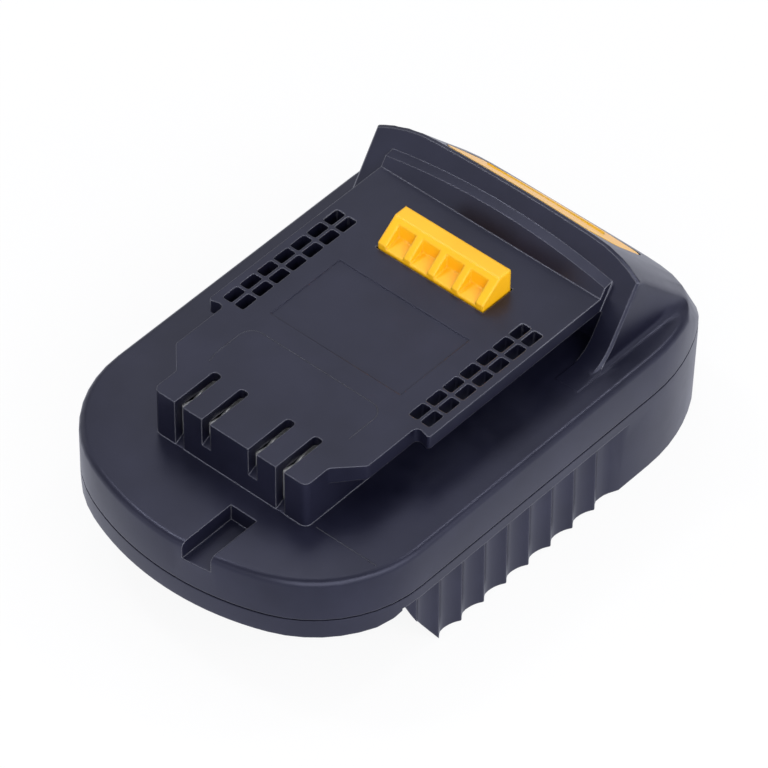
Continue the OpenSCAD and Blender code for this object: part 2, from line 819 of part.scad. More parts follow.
module upper_housing() {
  color(plastic_color)
    difference() {
      union() {
        difference() {
          union() {
            intersection() {
              union() {
                plate();
                hump_block();
              }
              rear_limit(0);
            }
            rail_block();
            hump_pad();
            pair()
              block(
                [rail_width / 2, face_y(plate_z) - face_fillet, ceiling_z + wall / 2],
                [hump_half + side_fillet / 2, face_y(plate_z), plate_z + step_height]
              );
          }
          intersection() {
            prism(body_outline(wall), parting_height - cut, ceiling_z);
            rear_limit(wall);
          }
          hump_cavity();
          block(
            [-neck_width / 2 + wall, hollow_y, ceiling_z - cut],
            [neck_width / 2 - wall, cavity_y + cut, skin_z]
          );
        }
        intersection() {
          notch_box(wall, plate_z - notch_depth - wall);
          plate();
        }
        for (p = screw_places) post(p, boss_diameter, parting_height, ceiling_z + wall / 2);
        pair()
          for (y = standoff_y)
            post([standoff_x, y], standoff_diameter, board_top_z, ceiling_z + wall / 2);
      }
      notch_box(0, plate_z - notch_depth);
      groove_ends();
      for (i = [0:3]) {
        slot_cut(slot_x[i], slot_floor[i]);
        block(
          [slot_x[i] - chamber_width / 2, chamber_y, ceiling_z - cut],
          [slot_x[i] + chamber_width / 2, chamber_y + chamber_length, skin_z]
        );
      }
      vent_cuts();
      block(
        [-label_width / 2, rail_y + label_setback, top_z - label_depth],
        [label_width / 2, rail_y + label_setback + label_length, top_z + cut]
      );
      block(
        [-latch_width / 2 - latch_clearance, latch_y - latch_clearance, skin_z - cut],
        [latch_width / 2 + latch_clearance, latch_end_y + latch_clearance, top_z + cut]
      );
      prism(button_outline(latch_clearance), parting_height + cut, ridge_z + cut);
      for (p = screw_places)
        post(p, screw_diameter + 2 * screw_clearance, parting_height - cut, head_z + screw_length + 0.5);
      pair()
        for (y = standoff_y)
          post([standoff_x, y], small_screw + 2 * screw_clearance, board_top_z - cut, ceiling_z + 0.8);
    }
}

// Front edge of the skirt, from its foot up to the nose's underside: points [y, z]
function skirt_front() = [
  for (k = [0:5])
    let (t = k / 5)
    [nose_y + skirt_setback + skirt_slant * (1 - t) * (1 - 0.25 * t), deck_z * t]
];

// What is cut away in front of the skirt, below the nose
module nose_cut() {
  front = skirt_front();
  toe = front[0];
  across(concat(
    [[nose_y - cut, -cut], [toe[0] + skirt_slant / 8, -cut]],
    front,
    [[nose_y - cut, deck_z]]
  ), body_width + 2 * cut);
}

// What is cut away inside the skirt's front edge, one side
module skirt_front_turn() {
  turn = 20;
  pivot_y = nose_y + skirt_setback;
  profile = [for (p = skirt_front()) [(p[0] - pivot_y) * cos(turn), p[1]]];
  translate([body_width / 2, pivot_y, 0])
    rotate([0, 0, -turn])
      translate([-bay_wall, 0, 0])
        across(concat(
          [[-bay_wall, -cut], [profile[0][0] + skirt_slant / 8, -cut]],
          profile,
          [[-bay_wall, deck_z]]
        ), 2 * bay_wall + cut);
}

// The rise of the nose wall's lower edge up to the lip over the ribs, one side
module lip_rise_cut() {
  end_y = nose_y + skirt_setback;
  length = 6.5;
  inner = body_width / 2 - bay_wall;
  translate([inner + bay_wall, 0, 0])
    across([
      [end_y - length, deck_z - cut], [end_y, deck_z - cut], [end_y, lip_z],
      [end_y - length * 0.45, deck_z + lip_z * 0.04], [end_y - length, deck_z]
    ], 2 * bay_wall);
}

// The recess that holds the grip ribs, one side
module rib_recess_cut() {
  valley = body_width / 2 - rib_recess;
  front_y = nose_y + skirt_setback - rib_recess;
  last_y = rib_y(rib_count - 1) + rib_pitch / 2;
  prism([
    [valley, front_y + rib_recess], [body_width / 2 + cut, front_y - cut],
    [body_width / 2 + cut, last_y + rib_ramp],
    for (k = [6:-1:0]) [valley + rib_recess * (1 - cos(30 * k)) / 2, last_y + rib_ramp * k / 6]
  ], -cut, lip_z);
}

// One rib from valley to valley: share of the pitch, share of the height
rib_wave = [
  [0.06, 0.01], [0.18, 0.07], [0.3, 0.19], [0.41, 0.37], [0.5, 0.58], [0.57, 0.79], [0.61, 0.93], [0.645, 1],
  [0.68, 0.94], [0.725, 0.76], [0.78, 0.51], [0.85, 0.26], [0.92, 0.09]
];

// Place of a rib along the body
function rib_y(k) = nose_y + skirt_setback + skirt_slant + k * rib_pitch;

// The grip ribs, one side
module ribs() {
  valley = body_width / 2 - rib_recess;
  crest = 0.645;
  prism(concat(
    [[valley - 1, rib_y(rib_count - crest)], [valley - 1, rib_y(-1 - crest)]],
    [
      for (k = [-1:rib_count - 1])
        for (p = rib_wave)
          [valley + rib_height * p[1], rib_y(k + p[0] - crest)]
    ]
  ), 0, lip_z);
}

module lower_housing() {
  color(plastic_color)
    difference() {
      union() {
        difference() {
          union() {
            difference() {
              loft([
                ring(body_outline(skirt_draft), 0),
                ring(body_outline(0), lip_z),
                ring(body_outline(0), parting_height)
              ]);
              pair() rib_recess_cut();
            }
            pair() ribs();
          }
          prism(body_outline(bay_wall), -cut, deck_z);
          prism(body_outline(wall), deck_top_z, parting_height + cut);
        }
        pair()
          block(
            [bay_rail_gap / 2, bay_rail_y, 0],
            [body_width / 2 - bay_wall + wall / 2, rear_side_center[1], bay_rail_thickness]
          );
        for (p = screw_places) post(p, boss_diameter, deck_z, parting_height);
        pair() {
          post([spring_spacing / 2, spring_y], spring_tower_diameter, deck_z + wall / 2, spring_z);
          post([spring_spacing / 2, spring_y], spring_pin_diameter, spring_z - wall, spring_z + spring_pin_height);
        }
        block(
          [-catch_width / 2 - wall, nose_y + skirt_setback - catch_length - wall, deck_z + wall / 2],
          [catch_width / 2 + wall, nose_y + skirt_setback + wall, deck_z + catch_depth + wall]
        );
        for (s = [-1, 1])
          post([s * terminal_screw_x, terminal_screw_y], boss_diameter, deck_z + wall / 2, parting_height);
      }
      nose_cut();
      pair() skirt_front_turn();
      pair() lip_rise_cut();
      difference() {
        prism(body_outline(-cut), parting_height - shadow_gap, parting_height + cut);
        prism(body_outline(shadow_gap_depth), parting_height - shadow_gap - cut, parting_height + 2 * cut);
      }
      block(
        [-catch_width / 2, nose_y + skirt_setback - catch_length, deck_z - cut],
        [catch_width / 2, nose_y + skirt_setback, deck_z + catch_depth]
      );
      for (p = screw_places) {
        post(p, screw_diameter + 4 * screw_clearance, deck_z - cut, parting_height + cut);
        post(p, screw_head + 4 * screw_clearance, deck_z - cut, head_z);
      }
      for (s = [-1, 1]) {
        post(
          [s * terminal_screw_x, terminal_screw_y], small_screw + 2 * screw_clearance,
          deck_z - cut, parting_height + cut
        );
        translate([s * blade_spacing / 2, 0, 0])
          block(
            [-blade_thickness / 2 - blade_clearance, blade_tail_y - blade_clearance, deck_z - cut],
            [
              blade_thickness / 2 + blade_clearance, blade_tail_y + blade_tail_depth + blade_clearance,
              deck_top_z + cut
            ]
          );
      }
    }
}

// The tooth that locks into the tool, with pockets in its slope
module latch_tooth() {
  peak_z = top_z + latch_height;
  slope_y = latch_end_y - latch_ridge;
  floor_z = top_z + latch_lip;
  row = pocket_count * pocket_width + (pocket_count - 1) * pocket_rib;
  difference() {
    across([
      [latch_y, frame_z], [latch_end_y, frame_z], [latch_end_y, peak_z], [slope_y, peak_z],
      [latch_y, top_z + latch_lip + 0.5]
    ], latch_width);
    for (k = [0:pocket_count - 1])
      translate([(pocket_width - row) / 2 + k * (pocket_width + pocket_rib), 0, 0])
        across([
          [latch_y - cut, floor_z - 0.4], [latch_y + pocket_depth, floor_z + 0.5],
          [latch_y + pocket_depth + 0.3, peak_z + cut], [latch_y - cut, peak_z + cut]
        ], pocket_width);
  }
}

module release_latch() {
  half = latch_width / 2 + frame_margin;
  frame_end_y = rear_face_y(frame_z) - button_thickness / cos(rear_lean) / 2;
  color(latch_color) {
    latch_tooth();
    block([-half, latch_y - frame_margin, frame_z], [half, frame_end_y, frame_top_z]);
    intersection() {
      prism(button_outline(0), parting_height, ridge_z + cut);
      difference() {
        leaning_limit(button_y, rear_face_z(button_y), button_lean, -button_proud);
        rear_limit(button_thickness);
      }
    }
    pair()
      post([spring_spacing / 2, spring_y], spring_pin_diameter, frame_z - spring_pin_height, frame_z + 1);
  }
}

// Points of a coil about the vertical, from z = 0
function coil(radius, height, turns, steps) = [
  for (i = [0:turns * steps])
    let (a = 360 * i / steps)
    [radius * cos(a), radius * sin(a), height * i / (turns * steps)]
];

// Direction of a path at one of its points
function heading(path, i) =
  let (d = path[min(i + 1, len(path) - 1)] - path[max(i - 1, 0)])
  d / norm(d);

// Rings of a round tube along a path, square to it
function tube_rings(path, diameter, sides, side_ways) = [
  for (i = [0:len(path) - 1])
    let (
      t = heading(path, i),
      u0 = cross(t, side_ways),
      u = u0 / norm(u0),
      v = cross(t, u)
    )
    [
      for (k = [0:sides - 1])
        let (a = 360 * k / sides)
        path[i] + diameter / 2 * (cos(a) * u + sin(a) * v)
    ]
];

module latch_spring(side) {
  path = coil(spring_mean_radius, spring_length - spring_wire - 0.1, spring_turns, 12);
  color(metal_color)
    translate([side * spring_spacing / 2, spring_y, spring_z + spring_wire / 2 + 0.05])
      loft(tube_rings(path, spring_wire, 6, [0, 0, 1]));
}

module latch_spring_left() latch_spring(-1);

module latch_spring_right() latch_spring(1);

module circuit_board() {
  color(board_color)
    difference() {
      block([-board_width / 2, board_y, board_z], [board_width / 2, board_end_y, board_top_z]);
      pair()
        for (y = standoff_y)
          post([standoff_x, y], small_screw + 4 * screw_clearance, board_z - cut, board_top_z + cut);
    }
}

// A spring clip: two leaves that pinch near the front, a bend behind and a foot on the board
module contact(i) {
  inner = contact_half - contact_strip;
  pinch = contact_pinch / 2;
  leaf = [
    [pinch + 0.7, 0], [pinch, 2.6], [inner, contact_length - 3], [inner, contact_length - contact_strip]
  ];
  outside = [for (p = leaf) [p[0] + contact_strip, p[1]]];
  right = [
    outside[0], outside[1], outside[2], [contact_half, contact_length]
  ];
  shape = concat(
    right,
    [for (k = [3:-1:0]) [-right[k][0], right[k][1]]],
    [for (k = [0:3]) [-leaf[k][0], leaf[k][1]]],
    [for (k = [3:-1:0]) leaf[k]]
  );
  color(metal_color)
    translate([slot_x[i], contact_y, 0]) {
      prism(shape, contact_z, contact_top_z);
      block(
        [-contact_tail / 2, contact_length - contact_strip, board_top_z],
        [contact_tail / 2, contact_length, contact_z + cut]
      );
      block(
        [-contact_tail / 2, contact_length - contact_tail, board_top_z],
        [contact_tail / 2, contact_length, board_top_z + contact_strip]
      );
    }
}

module contact_minus() contact(0);

module contact_signal_a() contact(1);

module contact_signal_b() contact(2);

module contact_plus() contact(3);

module id_resistor() {
  body_radius = 1.2;
  body_length = 6;
  leg = 0.6;
  reach = 4.6;
  middle_y = board_y + board_length * 0.62;
  axis_z = board_top_z + body_radius + 0.05;
  color("tan")
    translate([0, middle_y, 0]) {
      translate([-body_length / 2, 0, axis_z]) rotate([0, 90, 0]) cylinder(r = body_radius, h = body_length);
      translate([-reach, 0, axis_z]) rotate([0, 90, 0]) cylinder(d = leg, h = 2 * reach);
      for (s = [-1, 1]) post([s * reach, 0], leg * 1.4, board_top_z, axis_z + leg / 2);
    }
}

// Profile of a pack blade with its tail: points [y, z]
function blade_profile(grow) = [
  [terminal_y - blade_reach, blade_z - grow],
  [blade_tail_y + blade_tail_depth + grow, blade_z - grow],
  [blade_tail_y + blade_tail_depth + grow, blade_top_z],
  [blade_tail_y - grow, blade_top_z],
  [blade_tail_y - grow, blade_z + blade_height + grow],
  [terminal_y - blade_reach, blade_z + blade_height + grow]
];

module terminal_block() {
  color(plastic_color)
    difference() {
      block(
        [-terminal_width / 2, terminal_y, terminal_z], [terminal_width / 2, terminal_end_y, deck_z]
      );
      for (s = [-1, 1]) {
        translate([s * blade_spacing / 2, 0, 0])
          across(blade_profile(blade_clearance), blade_thickness + 2 * blade_clearance);
        post(
          [s * terminal_screw_x, terminal_screw_y], small_screw + 4 * screw_clearance,
          terminal_z - cut, deck_z + cut
        );
        post(
          [s * terminal_screw_x, terminal_screw_y], small_head + 4 * screw_clearance,
          terminal_z - cut, deck_z - wall
        );
      }
    }
}

module blade(side) {
  color(metal_color)
    translate([side * blade_spacing / 2, 0, 0]) across(blade_profile(0), blade_thickness);
}

module blade_minus() blade(-1);

module blade_plus() blade(1);

// A lead from the top of a blade's tail to its pad on the board
module lead(side) {
  x = blade_spacing / 2;
  tail_y = blade_tail_y + blade_tail_depth / 2;
  pad_y = board_end_y - lead_diameter;
  high_z = board_top_z + lead_diameter + 0.8;
  low_z = blade_top_z + lead_diameter;
  path = [
    [x, tail_y, blade_top_z], [x, tail_y, blade_top_z + 0.6], [x, tail_y - 1, low_z - 0.4],
    [x, tail_y - 3, low_z], [x, tail_y - 12, low_z], [x - 1, board_end_y + 18, low_z],
    [lead_pad_x + 1, board_end_y + 9, low_z + 0.6], [lead_pad_x, board_end_y + 4, high_z - 0.8],
    [lead_pad_x, board_end_y + 0.5, high_z], [lead_pad_x, pad_y + 0.8, high_z - 0.5],
    [lead_pad_x, pad_y, board_top_z + 1.2], [lead_pad_x, pad_y, board_top_z]
  ];
  color(side < 0 ? "black" : "red")
    loft(tube_rings([for (p = path) [side * p[0], p[1], p[2]]], lead_diameter, 10, [1, 0, 0]));
}

module lead_minus() lead(-1);

module lead_plus() lead(1);

// A screw that points up, the top of its head at a height
module screw(place, top, head, head_length, shank, shank_length) {
  difference() {
    union() {
      post(place, head, top - head_length, top);
      post(place, shank, top - head_length / 2, top + shank_length);
    }
    for (turn = [0, 90])
      translate([place[0], place[1], top - head_length])
        rotate([0, 0, turn])
          cube([head * 0.62, head * 0.16, head_length], center = true);
  }
}

module housing_screws() {
  color(metal_color)
    for (p = screw_places) screw(p, head_z, screw_head, head_height, screw_diameter, screw_length);
}

module board_screws() {
  color(metal_color)
    for (s = [-1, 1])
      for (y = standoff_y)
        screw([s * standoff_x, y], board_z, small_head, small_head_height, small_screw, board_thickness + small_bite);
}

module terminal_screws() {
  color(metal_color)
    for (s = [-1, 1])
      screw(
        [s * terminal_screw_x, terminal_screw_y], deck_z - wall, small_head, small_head_height,
        small_screw, small_screw_length
      );
}

upper_housing();
lower_housing();
release_latch();
latch_spring_left();
latch_spring_right();
circuit_board();
contact_minus();
contact_signal_a();
contact_signal_b();
contact_plus();
id_resistor();
terminal_block();
blade_minus();
blade_plus();
lead_minus();
lead_plus();
housing_screws();
board_screws();
terminal_screws();
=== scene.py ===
"""Tool battery adapter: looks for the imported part, in metres, in the part's own frame."""
import json
import math

import bpy
from mathutils import Matrix, Vector


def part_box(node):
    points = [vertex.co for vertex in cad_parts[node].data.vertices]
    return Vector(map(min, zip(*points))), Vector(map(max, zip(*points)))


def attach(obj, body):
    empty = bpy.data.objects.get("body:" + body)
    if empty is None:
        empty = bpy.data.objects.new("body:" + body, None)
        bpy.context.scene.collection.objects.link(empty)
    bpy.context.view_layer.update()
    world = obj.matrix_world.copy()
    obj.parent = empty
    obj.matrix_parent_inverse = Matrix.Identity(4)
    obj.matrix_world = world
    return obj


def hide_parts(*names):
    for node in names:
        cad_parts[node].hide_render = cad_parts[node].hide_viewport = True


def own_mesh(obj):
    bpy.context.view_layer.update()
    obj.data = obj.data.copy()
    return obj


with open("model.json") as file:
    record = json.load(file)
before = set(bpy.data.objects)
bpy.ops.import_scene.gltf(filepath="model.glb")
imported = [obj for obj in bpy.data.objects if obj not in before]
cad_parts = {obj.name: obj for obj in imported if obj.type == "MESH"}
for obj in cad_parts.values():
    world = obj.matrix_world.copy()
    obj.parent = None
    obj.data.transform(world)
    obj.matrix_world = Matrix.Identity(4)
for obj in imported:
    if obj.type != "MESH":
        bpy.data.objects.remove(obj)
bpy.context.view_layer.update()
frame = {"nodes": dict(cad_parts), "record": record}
nodes = frame["nodes"]
scene = bpy.context.scene
MM = 0.001


# Places on the part that the materials tell apart, in millimetres

# The hump's shoulders: out from the middle, along the fall of the rear face, behind the front face, and up
SHOULDER_OUT, SHOULDER_FALL, SHOULDER_BEHIND, SHOULDER_UP = (24, 28), (71, 75), (-9, -4), (26, 29)
# The hump's front, where shallow edges get the painted highlight too
HUMP_FRONT = ((-36, 12, 29.5), (36, 38, 48))
# Where the painted edge highlight is left off: the plate's low steps beside the hump, the rail block's recess and
# the parting line
QUIET_BOXES = (
    ((-60, 4, 28.8), (60, 70, 29.4)),
    ((-16.8, -14.2, 39.5), (16.8, 6.8, 40.2)),
    ((-60, -80, 18.8), (60, 80, 20.0)),
)
RESISTOR_ENDS = (-4.2, 4.2)


# Node helpers

class Graph:
    """A material's nodes, with short calls for the ones used here."""

    def __init__(self, name):
        self.material = bpy.data.materials.new(name)
        self.material.use_nodes = True
        self.tree = self.material.node_tree
        self.shader = self.tree.nodes["Principled BSDF"]

    def node(self, kind, **values):
        made = self.tree.nodes.new("ShaderNode" + kind)
        for key, value in values.items():
            setattr(made, key, value)
        return made

    def put(self, socket, value):
        if isinstance(value, bpy.types.NodeSocket):
            self.tree.links.new(value, socket)
        else:
            socket.default_value = value

    def place(self):
        return self.node("TexCoord").outputs["Object"]

    def split(self):
        """The three coordinates of the place."""
        made = self.node("SeparateXYZ")
        self.put(made.inputs["Vector"], self.place())
        return [made.outputs[axis] for axis in "XYZ"]

    def noise(self, scale, detail=2.0, rough=0.5, vector=None):
        made = self.node("TexNoise")
        self.put(made.inputs["Vector"], vector or self.place())
        self.put(made.inputs["Scale"], scale)
        self.put(made.inputs["Detail"], detail)
        self.put(made.inputs["Roughness"], rough)
        return made.outputs["Fac"]

    def spread(self, value, low, high, start=0.3, end=0.7):
        """Low to high, as a value goes from start to end."""
        made = self.node("MapRange")
        self.put(made.inputs["Value"], value)
        for key, number in (("From Min", start), ("From Max", end), ("To Min", low), ("To Max", high)):
            self.put(made.inputs[key], number)
        return made.outputs["Result"]

    def rise(self, value, limits):
        """0 to 1, as a length goes from one limit in millimetres to the other."""
        return self.spread(value, 0, 1, limits[0] * MM, limits[1] * MM)

    def ramp(self, value, *stops):
        made = self.node("ValToRGB")
        points = made.color_ramp.elements
        while len(points) < len(stops):
            points.new(0.5)
        for point, (where, colour) in zip(points, stops):
            point.position = where
            point.color = (*colour, 1)
        self.put(made.inputs["Fac"], value)
        return made.outputs["Color"]

    def math(self, operation, a, b):
        made = self.node("Math", operation=operation)
        self.put(made.inputs[0], a)
        self.put(made.inputs[1], b)
        return made.outputs[0]

    def bump(self, height, strength, distance, normal=None):
        made = self.node("Bump")
        self.put(made.inputs["Height"], height)
        self.put(made.inputs["Strength"], strength)
        self.put(made.inputs["Distance"], distance)
        if normal is not None:
            self.put(made.inputs["Normal"], normal)
        return made.outputs["Normal"]

    def soft_edge(self, radius):
        made = self.node("Bevel", samples=6)
        self.put(made.inputs["Radius"], radius)
        return made.outputs["Normal"]

    def edge_turn(self, rounded):
        """1 on flat faces, and less where a rounded edge turns away from its face."""
        made = self.node("VectorMath", operation="DOT_PRODUCT")
        self.put(made.inputs[0], rounded)
        self.put(made.inputs[1], self.node("NewGeometry").outputs["Normal"])
        return made.outputs["Value"]

    def inside(self, low, high):
        """1 inside a box given by two corners in millimetres, and 0 outside it."""
        found = 1.0
        for value, a, b in zip(self.split(), low, high):
            near = self.math("COMPARE", value, (a + b) / 2 * MM)
            self.put(near.node.inputs[2], (b - a) / 2 * MM)
            found = self.math("MULTIPLY", found, near)
        return found

    def on_shoulders(self):
        """1 along the hump's shoulders, which turn softly from the rear face to the side, and 0 elsewhere."""
        x, y, z = self.split()
        found = self.rise(self.math("ABSOLUTE", x, 0.0), SHOULDER_OUT)
        for value, limits in (
                (self.math("ADD", y, z), SHOULDER_FALL), (self.math("SUBTRACT", y, z), SHOULDER_BEHIND),
                (z, SHOULDER_UP)):
            found = self.math("MULTIPLY", found, self.rise(value, limits))
        return found

    def surface(self, **values):
        for key, value in values.items():
            self.put(self.shader.inputs[key.replace("_", " ")], value)
        return self.material

    def seen_white(self, share):
        """Mixes in plain white for camera and glass rays, and a cool white for mirror rays."""
        path = self.node("LightPath").outputs
        seen = self.math("MAXIMUM", path["Is Camera Ray"], path["Is Glossy Ray"])
        seen = self.math("MAXIMUM", seen, path["Is Transmission Ray"])
        tone = self.node("Mix", data_type="RGBA")
        self.put(tone.inputs["Factor"], path["Is Glossy Ray"])
        self.put(tone.inputs["A"], (1, 1, 1, 1))
        self.put(tone.inputs["B"], (0.86, 0.88, 1.0, 1))
        glow, mix = self.node("Emission"), self.node("MixShader")
        self.put(glow.inputs["Color"], tone.outputs["Result"])
        self.put(mix.inputs["Fac"], self.math("MULTIPLY", seen, share))
        self.put(mix.inputs[1], self.shader.outputs[0])
        self.put(mix.inputs[2], glow.outputs[0])
        self.put(self.tree.nodes["Material Output"].inputs["Surface"], mix.outputs[0])


# Materials

# How far an edge's normal has to turn for the painted edge highlight and the edge polish to show fully, and where
# they stop showing
EDGE_TURNS, SHALLOW_TURNS, SHALLOW_SHARE = (0.74, 0.97), (0.93, 0.993), 0.8
SHOULDER_SOFTNESS = 3 * MM
ROUGHNESS_VARIES, EDGE_POLISH = 0.015, 0.06
GRAIN_DEPTH, DRAWN_DEPTH, COVER_DEPTH = 0.04 * MM, 0.03 * MM, 0.05 * MM
METAL_EDGE = 0.25 * MM


def moulded_plastic(name, dark, pale, painted_highlight_tone, rough, edge_radius, grain, tint):
    """Spark-textured moulding: fine grain, faint flow clouds, edges smoother and paler, the paler colour a painted
    highlight.
    """
    g = Graph(name)
    shoulder = g.on_shoulders()
    rounded = g.soft_edge(g.math("ADD", edge_radius, g.math("MULTIPLY", shoulder, SHOULDER_SOFTNESS)))
    # The painted edge highlight is held off on the shoulders and in the quiet boxes
    quiet = shoulder
    for low, high in QUIET_BOXES:
        quiet = g.math("MAXIMUM", quiet, g.inside(low, high))
    turn = g.edge_turn(rounded)
    shallow = g.math("MULTIPLY", g.spread(turn, SHALLOW_SHARE, 0, *SHALLOW_TURNS), g.inside(*HUMP_FRONT))
    edge_highlight_and_polish = g.math("MAXIMUM", g.spread(turn, 1, 0, *EDGE_TURNS), shallow)
    edge_highlight_and_polish = g.math("MULTIPLY", edge_highlight_and_polish, g.math("SUBTRACT", 1.0, quiet))
    clouds = g.noise(55, 3, 0.6)
    fine = g.noise(2600, 2, 0.6)
    # Base colour: random flow clouds, with the painted edge highlight over them
    tone = g.math("MAXIMUM", g.spread(clouds, 0.0, 0.5), edge_highlight_and_polish)
    blotches = g.spread(g.noise(240, 3, 0.6), rough - ROUGHNESS_VARIES, rough + ROUGHNESS_VARIES)
    return g.surface(
        Base_Color=g.ramp(tone, (0.0, dark), (0.5, pale), (1.0, painted_highlight_tone)),
        Roughness=g.math("SUBTRACT", blotches, g.math("MULTIPLY", edge_highlight_and_polish, EDGE_POLISH)),
        IOR=1.5, Specular_Tint=(*tint, 1), Normal=g.bump(fine, grain, GRAIN_DEPTH, rounded))


def plated_metal(name, dark, pale, metal, rough, direction):
    """Plated sheet or wire with fine drawing lines along one direction."""
    g = Graph(name)
    stretch = g.node("Mapping")
    g.put(stretch.inputs["Vector"], g.place())
    g.put(stretch.inputs["Scale"], direction)
    lines = g.noise(1, 3, 0.6, stretch.outputs["Vector"])
    return g.surface(
        Base_Color=g.ramp(g.noise(300), (0.3, dark), (0.7, pale)), Metallic=metal,
        Roughness=g.spread(lines, rough - 0.07, rough + 0.1),
        Normal=g.bump(lines, 0.08, DRAWN_DEPTH, g.soft_edge(METAL_EDGE)))


def lead_cover(name, dark, pale):
    """Soft extruded insulation with drawing marks."""
    g = Graph(name)
    clouds = g.noise(400, 3, 0.6)
    return g.surface(
        Base_Color=g.ramp(clouds, (0.3, dark), (0.7, pale)), Roughness=g.spread(clouds, 0.38, 0.5),
        Normal=g.bump(g.noise(1800), 0.1, COVER_DEPTH))


def board_laminate():
    """Solder mask over copper: tracks stand a little proud and paler."""
    g = Graph("board_laminate")
    tracks = g.node("TexBrick", offset=0.5, squash=1.0)
    g.put(tracks.inputs["Vector"], g.place())
    for key, value in (("Scale", 130.0), ("Mortar Size", 0.035), ("Mortar Smooth", 0.1), ("Brick Width", 0.9),
                       ("Row Height", 0.32)):
        g.put(tracks.inputs[key], value)
    copper = tracks.outputs["Fac"]
    return g.surface(
        Base_Color=g.ramp(copper, (0.0, (0.012, 0.085, 0.035)), (1.0, (0.03, 0.17, 0.07))),
        Roughness=g.spread(g.noise(900), 0.28, 0.4), Normal=g.bump(copper, 0.3, GRAIN_DEPTH))


def resistor_lacquer():
    """Lacquered body with colour bands across it and bare legs at its ends."""
    g = Graph("resistor_lacquer")
    along = g.rise(g.split()[0], RESISTOR_ENDS)
    body, leg = (0.5, 0.33, 0.17), (0.5, 0.5, 0.52)
    bands = g.ramp(
        along, (0.0, leg), (0.15, body), (0.25, (0.18, 0.05, 0.02)), (0.32, body), (0.42, (0.02, 0.02, 0.02)),
        (0.49, body), (0.58, (0.5, 0.13, 0.01)), (0.65, body), (0.78, (0.5, 0.34, 0.05)), (0.84, body), (0.86, leg))
    bands.node.color_ramp.interpolation = "CONSTANT"
    return g.surface(
        Base_Color=bands, Roughness=g.spread(g.noise(1500), 0.25, 0.4),
        Normal=g.bump(g.noise(2500), 0.1, GRAIN_DEPTH))


HOUSING_TINT, LATCH_TINT = (0.76, 0.78, 1.0), (1.0, 0.97, 0.85)
# The third colour of each plastic is its painted edge highlight
housing = moulded_plastic(
    "housing_plastic", (0.0035, 0.0037, 0.0105), (0.0105, 0.0108, 0.023), (0.18, 0.182, 0.2),
    rough=0.33, edge_radius=0.4 * MM, grain=0.2, tint=HOUSING_TINT)
# Paler than the housing plastic: a painted highlight along the fine moulded lines
painted_highlight_line_plastic = moulded_plastic(
    "painted_highlight_line_plastic", (0.03, 0.031, 0.042), (0.045, 0.046, 0.06), (0.07, 0.071, 0.085),
    rough=0.33, edge_radius=0.2 * MM, grain=0.2, tint=HOUSING_TINT)
latch = moulded_plastic(
    "latch_plastic", (0.94, 0.45, 0.005), (0.98, 0.51, 0.011), (0.98, 0.55, 0.025),
    rough=0.36, edge_radius=0.8 * MM, grain=0.08, tint=LATCH_TINT)
contact = plated_metal(
    "tinned_contact", (0.9, 0.9, 0.91), (0.97, 0.97, 0.97), metal=0.7, rough=0.36, direction=(400, 400, 6000))
steel = plated_metal(
    "plated_steel", (0.42, 0.42, 0.44), (0.62, 0.62, 0.63), metal=1.0, rough=0.3, direction=(5000, 5000, 500))
LOOKS = {
    "housing": housing, "latch": latch, "contact": contact, "steel": steel,
    "board": board_laminate(), "resistor": resistor_lacquer(),
    "lead_black": lead_cover("lead_black_cover", (0.008, 0.008, 0.009), (0.02, 0.02, 0.022)),
    "lead_red": lead_cover("lead_red_cover", (0.36, 0.012, 0.012), (0.52, 0.03, 0.025)),
}


# Smooth shading with sharp edges kept, as a modifier

def smooth_group(angle):
    """A modifier that joins the facets' corners and shades them smoothly, apart from edges over an angle."""
    group = bpy.data.node_groups.new("smooth_by_angle", "GeometryNodeTree")
    group.interface.new_socket("Geometry", in_out="INPUT", socket_type="NodeSocketGeometry")
    group.interface.new_socket("Geometry", in_out="OUTPUT", socket_type="NodeSocketGeometry")
    add = group.nodes.new
    start, end = add("NodeGroupInput"), add("NodeGroupOutput")
    merge, strip = add("GeometryNodeMergeByDistance"), add("GeometryNodeRemoveAttribute")
    faces, edges = add("GeometryNodeSetShadeSmooth"), add("GeometryNodeSetShadeSmooth")
    turn, over = add("GeometryNodeInputMeshEdgeAngle"), add("FunctionNodeCompare")
    merge.inputs["Distance"].default_value = 1e-6
    strip.inputs["Name"].default_value = "custom_normal"
    edges.domain = "EDGE"
    edges.inputs["Shade Smooth"].default_value = False
    over.operation = "GREATER_THAN"
    over.inputs["B"].default_value = angle
    chain = [start, merge, strip, faces, edges, end]
    for a, b in zip(chain, chain[1:]):
        group.links.new(a.outputs[0], b.inputs[0])
    group.links.new(turn.outputs["Unsigned Angle"], over.inputs["A"])
    group.links.new(over.outputs["Result"], edges.inputs["Selection"])
    return group


SHARP_ANGLE = math.radians(28)
smooth = smooth_group(SHARP_ANGLE)
slot_of = {p["node"]: p["material_slot"] for p in frame["record"]["subparts"]}
for name, piece in nodes.items():
    piece.data.materials.clear()
    piece.data.materials.append(LOOKS[slot_of[name]])
    piece.modifiers.new("smooth", "NODES").node_group = smooth


# Coil springs under the latch

def loft_piece(name, rings, material, body):
    """A closed skin over rings of equal count, as a piece on a body."""
    count = len(rings[0])
    faces = [tuple(range(count))[::-1], tuple(range(len(rings) * count - count, len(rings) * count))]
    for k in range(len(rings) - 1):
        for j in range(count):
            a, b = k * count + j, k * count + (j + 1) % count
            faces.append((a, b, b + count, a + count))
    mesh = bpy.data.meshes.new(name)
    mesh.from_pydata([p for ring in rings for p in ring], [], faces)
    mesh.materials.append(material)
    piece = bpy.data.objects.new(name, mesh)
    scene.collection.objects.link(piece)
    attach(piece, body)
    return piece


